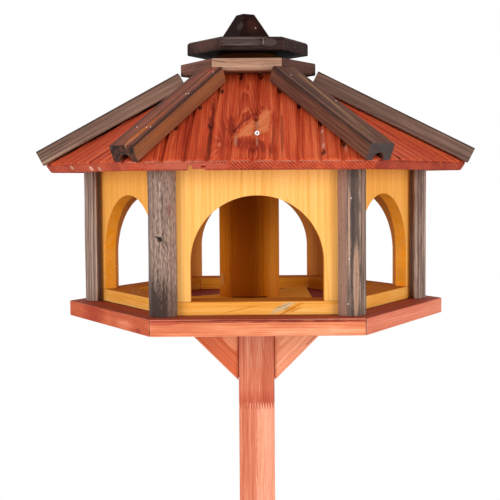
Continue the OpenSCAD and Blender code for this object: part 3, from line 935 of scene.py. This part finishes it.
silo = dict(ease=0.0006, slot="silo_wood", seatTurn=38)
siloLook = dict(
    honeyLook, dark="#984A06", mid="#D07A18", light="#F0A040", rings=-0.08, streak=(0.6, 0.006, 0.2),
    fibre=(0.05, 0.0008, 0.15), patch=(0.15, 0.06, 0.1))
seatLook = dict(siloLook, dark="#F08C18", mid="#FFB234", light="#FFCC60", rings=-0.3)
siloMarks = [
    # The first three entries are painted: painted shade down the front of the tube, painted light on
    # one side, and a painted shadow over the top of the tube under the cap.
    mark((0, -8, 36), (1000, 19, 30), lift=-0.38, soft=0.8, ragged=0.5),
    mark((0, 30, 20), (1000, 10, 30), lift=0.22, soft=0.8, ragged=0.5),
    mark((160, 0, 0), (24, 1000, 1000), "#241008", share=0.95, soft=0.2, ragged=0.0),
    mark((-129, -34.5, 12), (8, 2.2, 20), "#C08A4A", share=0.7),
    mark((-126, -32, 14), (8, 0.8, 20), "#8A4A12", share=0.7)]


def makeSilo():
    bm = roughOut("silo_seat")
    worn = easeEdges(bm, silo["ease"])
    finish = woodFinish("silo seat", seatLook)
    grain = turnedGrain(silo["seatTurn"])
    finishPiece(bm, "silo_seat_wood", "silo_seat", finish, grain, worn)
    bm = roughOut("silo_tube")
    finish = woodFinish("silo tube", siloLook, marks=siloMarks)
    finishPiece(bm, "silo_tube_wood", "silo_tube", finish, frontGrain)


# Cap

cap = dict(ease=0.0012, slot="cap_wood", brads=[(None, 0.0128, 0.0124)])
capLook = dict(
    softwood, dark="#120808", mid="#241412", light="#46302A", rings=-0.2, streak=(0.2, 0.004, 0.4),
    fibre=(0.02, 0.0007, 0.5), wear="#5A4640", wearBy=0.4, rough=0.66, gloss=0.08)
finialLook = dict(capLook, mid="#1E0E0C", light="#301A16", gloss=0.03)
scuffed = mark((-8, 68, 2), (26, 10, 4.5), "#5E504C", share=0.45, soft=0.15, ragged=0.5)
capMarks = [
    scuffed,
    like(scuffed, (26, 68, 1), (10, 10, 5)),
    like(scuffed, (-4, 68, 6), (30, 10, 0.5), "#8A7C76", share=0.8),
    like(scuffed, (-8, 68, -2.2), (26, 10, 0.4), "#7A6C66", share=0.7),
    like(scuffed, (18.2, 68, 2), (0.5, 10, 4.5), "#8A7C76", share=0.8),
    like(scuffed, (0, 68, -0.2), (8, 10, 0.4), "#6E605A", share=0.7),
    mark((-52, 40, 2), (24, 30, 8), "#5C3E38", share=0.75, soft=0.6, ragged=1.6),
    # Painted shade: the underside of the cap board is nearly black.
    mark((0, 0, -9.5), (1000, 1000, 2.2), "#0E0808", share=0.9, soft=0.2, ragged=0.0)]
finialMarks = [
    mark((0.6, 14.5, 9), (2.6, 4, 1.8), "#0C0404", share=0.95),
    mark((-6.9, 20.2, 0.9), (3.5, 8, 4.5), "#4E4240", turn=20, about="Y", share=0.55, ragged=2.2),
    mark((9, 13.5, 2), (7, 12, 9), "#44241A", share=0.65, soft=0.6)]


def makeCap():
    pieces = (("cap_plate", woodFinish("cap board", capLook, marks=capMarks), ()),
              ("cap_plug", woodFinish("cap plug", capLook), ()),
              ("finial", woodFinish("finial", finialLook, marks=finialMarks), cap["brads"]))
    for node, finish, brads in pieces:
        bm = roughOut(node)
        worn = easeEdges(bm, cap["ease"]) if node != "cap_plug" else ()
        finishPiece(bm, node + "_wood", node, finish, turnedGrain(0), worn, brads=brads)


makeSilo()
makeCap()
print("silo and cap made")


# Stand

stand = dict(
    ease=0.0015, slot="stand_wood", jointAt=0.3976, fingerLong=0.0106, fingerPitch=0.0034,
    cutWide=0.03, cutDeep=0.05)   # the zigzag's cut runs past the post's sides
standLook = dict(
    softwood, dark="#B4503A", mid="#DC8062", light="#F6AE8E", rings=-0.22, ringGap=0.0026, lean=0.002,
    bend=(0.4, 0.05, 0.001), streak=(0.6, 0.006, 0.18), fibre=(0.03, 0.0008, 0.35),
    patch=(0.12, 0.05, 0.12))
upperLook = dict(standLook, boards=0.0, mid="#CE7456")
lowerLook = dict(standLook, boards=0.0, mid="#D27A5C")
leftBracketLook = dict(standLook, dark="#C05434", mid="#DC7048", light="#F09A70")
rightBracketLook = dict(standLook, dark="#D07050", mid="#F09A74", light="#FFBE98")
upperMarks = [
    mark((-56, 0, 22.5), (16, 1000, 1000), lift=-0.2, soft=0.6),
    mark((-35, 10, 22.5), (30, 10, 1000), lift=-0.18, soft=0.7),
    mark((-60, -6, 22.5), (6, 15, 1000), "#A04830", share=0.55, ragged=0.5),
    mark((30, -10, 22.5), (50, 3, 1000), lift=0.2, soft=0.6),
    mark((0, 22.5, 22.5), (1000, 1.2, 1.2), "#A2422C", share=0.5)]
lowerMarks = [
    mark((400, 13, 22.5), (450, 12.5, 1000), lift=0.26, soft=0.15, ragged=0.8),
    mark((460, -14, 22.5), (100, 3, 1000), lift=-0.12, soft=0.6),
    mark((459, 0, 22.5), (8, 21, 1000), lift=0.2, soft=0.3)]
palerEnd = mark((-18, 6, 18), (20, 12, 1000), lift=0.4, soft=0.15)
dash = dict(turn=-6, colour="#8E3C28", share=0.8, ragged=0.6)
dashes = [like(dash, (along, -25.5, 18), (3, 0.5, 1000)) for along in (4, 8, 12, 16)]


def fingerBlock(bm):  # all that lies under a zigzag through the post
    axes, centre = grainFrame(boardsOf(bm)[0], frontGrain)[1:]
    pitch, half = stand["fingerPitch"], stand["fingerLong"] / 2
    count = 2 * math.ceil(stand["cutWide"] / pitch)
    zigzag = [(k * pitch / 2, stand["jointAt"] + (half if k % 2 else -half))
              for k in range(-count, count + 1)]
    outline = [(zigzag[0][0], -1.0)] + zigzag + [(zigzag[-1][0], -1.0)]
    block = bmesh.new()
    rows = []
    for depth in (-stand["cutDeep"], stand["cutDeep"]):
        points = [centre + Vector((along, across, depth)) for across, along in outline]
        rows.append([block.verts.new(axes.transposed() @ point) for point in points])
    block.faces.new(rows[0])
    block.faces.new(reversed(rows[1]))
    for k in range(len(outline)):
        j = (k + 1) % len(outline)
        block.faces.new([rows[0][j], rows[0][k], rows[1][k], rows[1][j]])
    bmesh.ops.recalc_face_normals(block, faces=block.faces)
    return block


def upright(edge):
    return abs((edge.verts[0].co - edge.verts[1].co).normalized().z) > 0.99


def makePost():  # the upper and the lower part, joined by their fingers
    whole = bmesh.new()
    for how in ("INTERSECT", "DIFFERENCE"):
        bm = roughOut("stand_post")
        part = carve(bm, fingerBlock(bm), how)
        mesh = bpy.data.meshes.new("part")
        part.to_mesh(mesh)
        part.free()
        whole.from_mesh(mesh)
        bpy.data.meshes.remove(mesh)
    worn = easeEdges(whole, stand["ease"], among=upright)
    joint = sum(v.co.z for v in whole.verts) / len(whole.verts)
    finishes = {"upper": woodFinish("upper post", upperLook, marks=upperMarks),
                "lower": woodFinish("lower post", lowerLook, marks=lowerMarks)}
    finishPiece(whole, "stand_post_wood", "stand_post", finishes, frontGrain, worn,
                kindOf=lambda middle: "upper" if middle.z > joint else "lower")


def makeStand():
    makePost()
    finish = woodFinish("stand", standLook)
    warm = woodFinish("left bracket", leftBracketLook, marks=[palerEnd])
    fair = woodFinish("right bracket", rightBracketLook, marks=dashes)
    pieces = (("bracket_left", slantedGrain, warm), ("bracket_right", slantedGrain, fair),
              ("foot_beam_long", longGrain, finish), ("foot_beam_cross", longGrain, finish),
              ("foot_brackets_long", slantedGrain, finish),
              ("foot_brackets_cross", slantedGrain, finish))
    for node, grain, look in pieces:
        bm = roughOut(node)
        worn = easeEdges(bm, stand["ease"])
        finishPiece(bm, node + "_wood", node, look, grain, worn)


# how far the dark piece of painted shade reaches into the wood, and how far it stays inside the
# bracket's edges
gapShade = dict(into=0.0002, back=0.0015, above=0.004, dark="#1E0E0A", light="#4A2A20")


def shadeGaps():  # dark pieces of painted shade in the narrow gaps between the brackets and the post
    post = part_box("stand_post")
    bm = bmesh.new()
    for node in ("bracket_left", "bracket_right"):
        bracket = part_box(node)
        if node == "bracket_right":
            gap = post[1].x, bracket[0].x
        else:
            gap = bracket[1].x, post[0].x
        inset = Vector((-gapShade["into"], gapShade["back"], gapShade["above"]))
        low = Vector((gap[0], bracket[0].y, bracket[0].z)) + inset
        high = Vector((gap[1], bracket[1].y, bracket[1].z)) - inset
        made = bmesh.ops.create_cube(bm, size=1.0)
        for v in made["verts"]:
            v.co = Vector([(low[k] + high[k]) / 2 + v.co[k] * (high[k] - low[k]) for k in range(3)])
    material, tree, shader = newMaterial("painted gap shade")
    place = addNode(tree, "TexCoord", {}).outputs["Object"]
    grain = addNode(tree, "TexNoise", {"Vector": place, "Scale": 300.0}).outputs["Fac"]
    colour = colourRamp(tree, grain, ((0.3, gapShade["dark"]), (0.7, gapShade["light"])))
    tree.links.new(colour, shader.inputs["Base Color"])
    shader.inputs["Roughness"].default_value = 0.8
    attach(addPiece(bm, "gap_shade_piece", material), "feeder")


makeStand()
shadeGaps()
print("stand made")


# Brads

brad = dict(radius=0.0008, height=0.0004, into=0.0003, colour="#E8E4DE")


def makeBrads():
    radius, height = brad["radius"], brad["height"]
    dome = [(radius, -brad["into"]), (radius * 0.9, height * 0.4), (radius * 0.5, height * 0.9),
            (0.0, height)]
    bright = metalFinish("brads", brad["colour"], 0.35)
    for body, spots in nailed.items():
        if spots:
            latheTurned(body + "_brads", dome, spots, bright, body, 10)


makeBrads()
print("brads made")


# Floor, light and camera

room = dict(
    floorSize=2.2, floorClear=0.8, floorColour="#F4F2EE", sky=0.6, lampTurn=40, lampAway=2.2,
    lampHeight=1.35, lampSize=1.0, lampPower=21.2)


def makeFloor():  # fades to white at its edge, and is clear from below
    bm = bmesh.new()
    bmesh.ops.create_circle(bm, cap_ends=True, segments=96, radius=room["floorSize"])
    material, tree, shader = newMaterial("pale floor")
    shader.inputs["Base Color"].default_value = paint(room["floorColour"])
    shader.inputs["Roughness"].default_value = 0.9
    place = addNode(tree, "TexCoord", {}).outputs["Object"]
    away = addNode(tree, "VectorMath", {0: place}, operation="LENGTH").outputs["Value"]
    edge = fade(tree, away, room["floorClear"], room["floorSize"])
    path = addNode(tree, "LightPath", {})
    seen = calc(tree, "MULTIPLY", edge, path.outputs["Is Camera Ray"])
    glow = addNode(tree, "Emission", {"Color": (1, 1, 1, 1), "Strength": 1.0})
    clear = addNode(tree, "BsdfTransparent", {})
    below = addNode(tree, "NewGeometry", {}).outputs["Backfacing"]
    lit = addNode(tree, "MixShader", {0: seen, 1: shader.outputs[0], 2: glow.outputs[0]})
    both = addNode(tree, "MixShader", {0: below, 1: lit.outputs[0], 2: clear.outputs[0]})
    tree.links.new(both.outputs[0], tree.nodes["Material Output"].inputs["Surface"])
    addPiece(bm, "floor", material)


def makeSky():  # white to the eye and in reflections, and softer as a light
    world = bpy.data.worlds.new("studio")
    scene.world = world
    world.use_nodes = True
    tree = world.node_tree
    soft = tree.nodes["Background"]
    soft.inputs["Color"].default_value = (1, 1, 1, 1)
    soft.inputs["Strength"].default_value = room["sky"]
    white = addNode(tree, "Background", {"Color": (1, 1, 1, 1), "Strength": 1.0})
    path = addNode(tree, "LightPath", {})
    direct = calc(tree, "MAXIMUM", path.outputs["Is Camera Ray"], path.outputs["Is Transmission Ray"])
    direct = calc(tree, "MAXIMUM", direct, path.outputs["Is Glossy Ray"])
    both = addNode(tree, "MixShader", {0: direct, 1: soft.outputs[0], 2: white.outputs[0]})
    tree.links.new(both.outputs[0], tree.nodes["World Output"].inputs["Surface"])


def addLamp(name, place, target):
    data = bpy.data.lights.new(name, "AREA")
    data.shape = "SQUARE"
    data.size = room["lampSize"]
    data.energy = room["lampPower"]
    lamp = bpy.data.objects.new(name, data)
    lamp.location = place
    lamp.rotation_euler = (Vector(place) - Vector(target)).to_track_quat("Z", "Y").to_euler()
    scene.collection.objects.link(lamp)


camera = dict(
    lens=79.1, distance=1.3987, overDeck=0.1514, sideways=-0.00715, turn=0.31, tilt=3.63, roll=0.42)


def addCamera():
    data = bpy.data.cameras.new("camera")
    data.lens = camera["lens"]
    eye = bpy.data.objects.new("camera", data)
    turn = Matrix.Rotation(math.radians(-camera["turn"]), 4, "Z")
    tilt = Matrix.Rotation(math.radians(90 - camera["tilt"]), 4, "X")
    roll = Matrix.Rotation(math.radians(-camera["roll"]), 4, "Z")
    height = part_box("deck_frame")[1].z + camera["overDeck"]
    place = turn @ Vector((camera["sideways"], -camera["distance"], height))
    eye.matrix_world = Matrix.Translation(place) @ turn @ tilt @ roll
    scene.collection.objects.link(eye)
    scene.camera = eye


makeFloor()
makeSky()
houseMiddle = Vector((0, 0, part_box("wall_front")[1].z))
for name, turn in (("left softbox", -room["lampTurn"]), ("right softbox", room["lampTurn"])):
    place = Matrix.Rotation(math.radians(turn), 3, "Z") @ Vector((0, -room["lampAway"], 0))
    place.z = room["lampHeight"]
    addLamp(name, place, houseMiddle)
addCamera()
print("light and camera set")
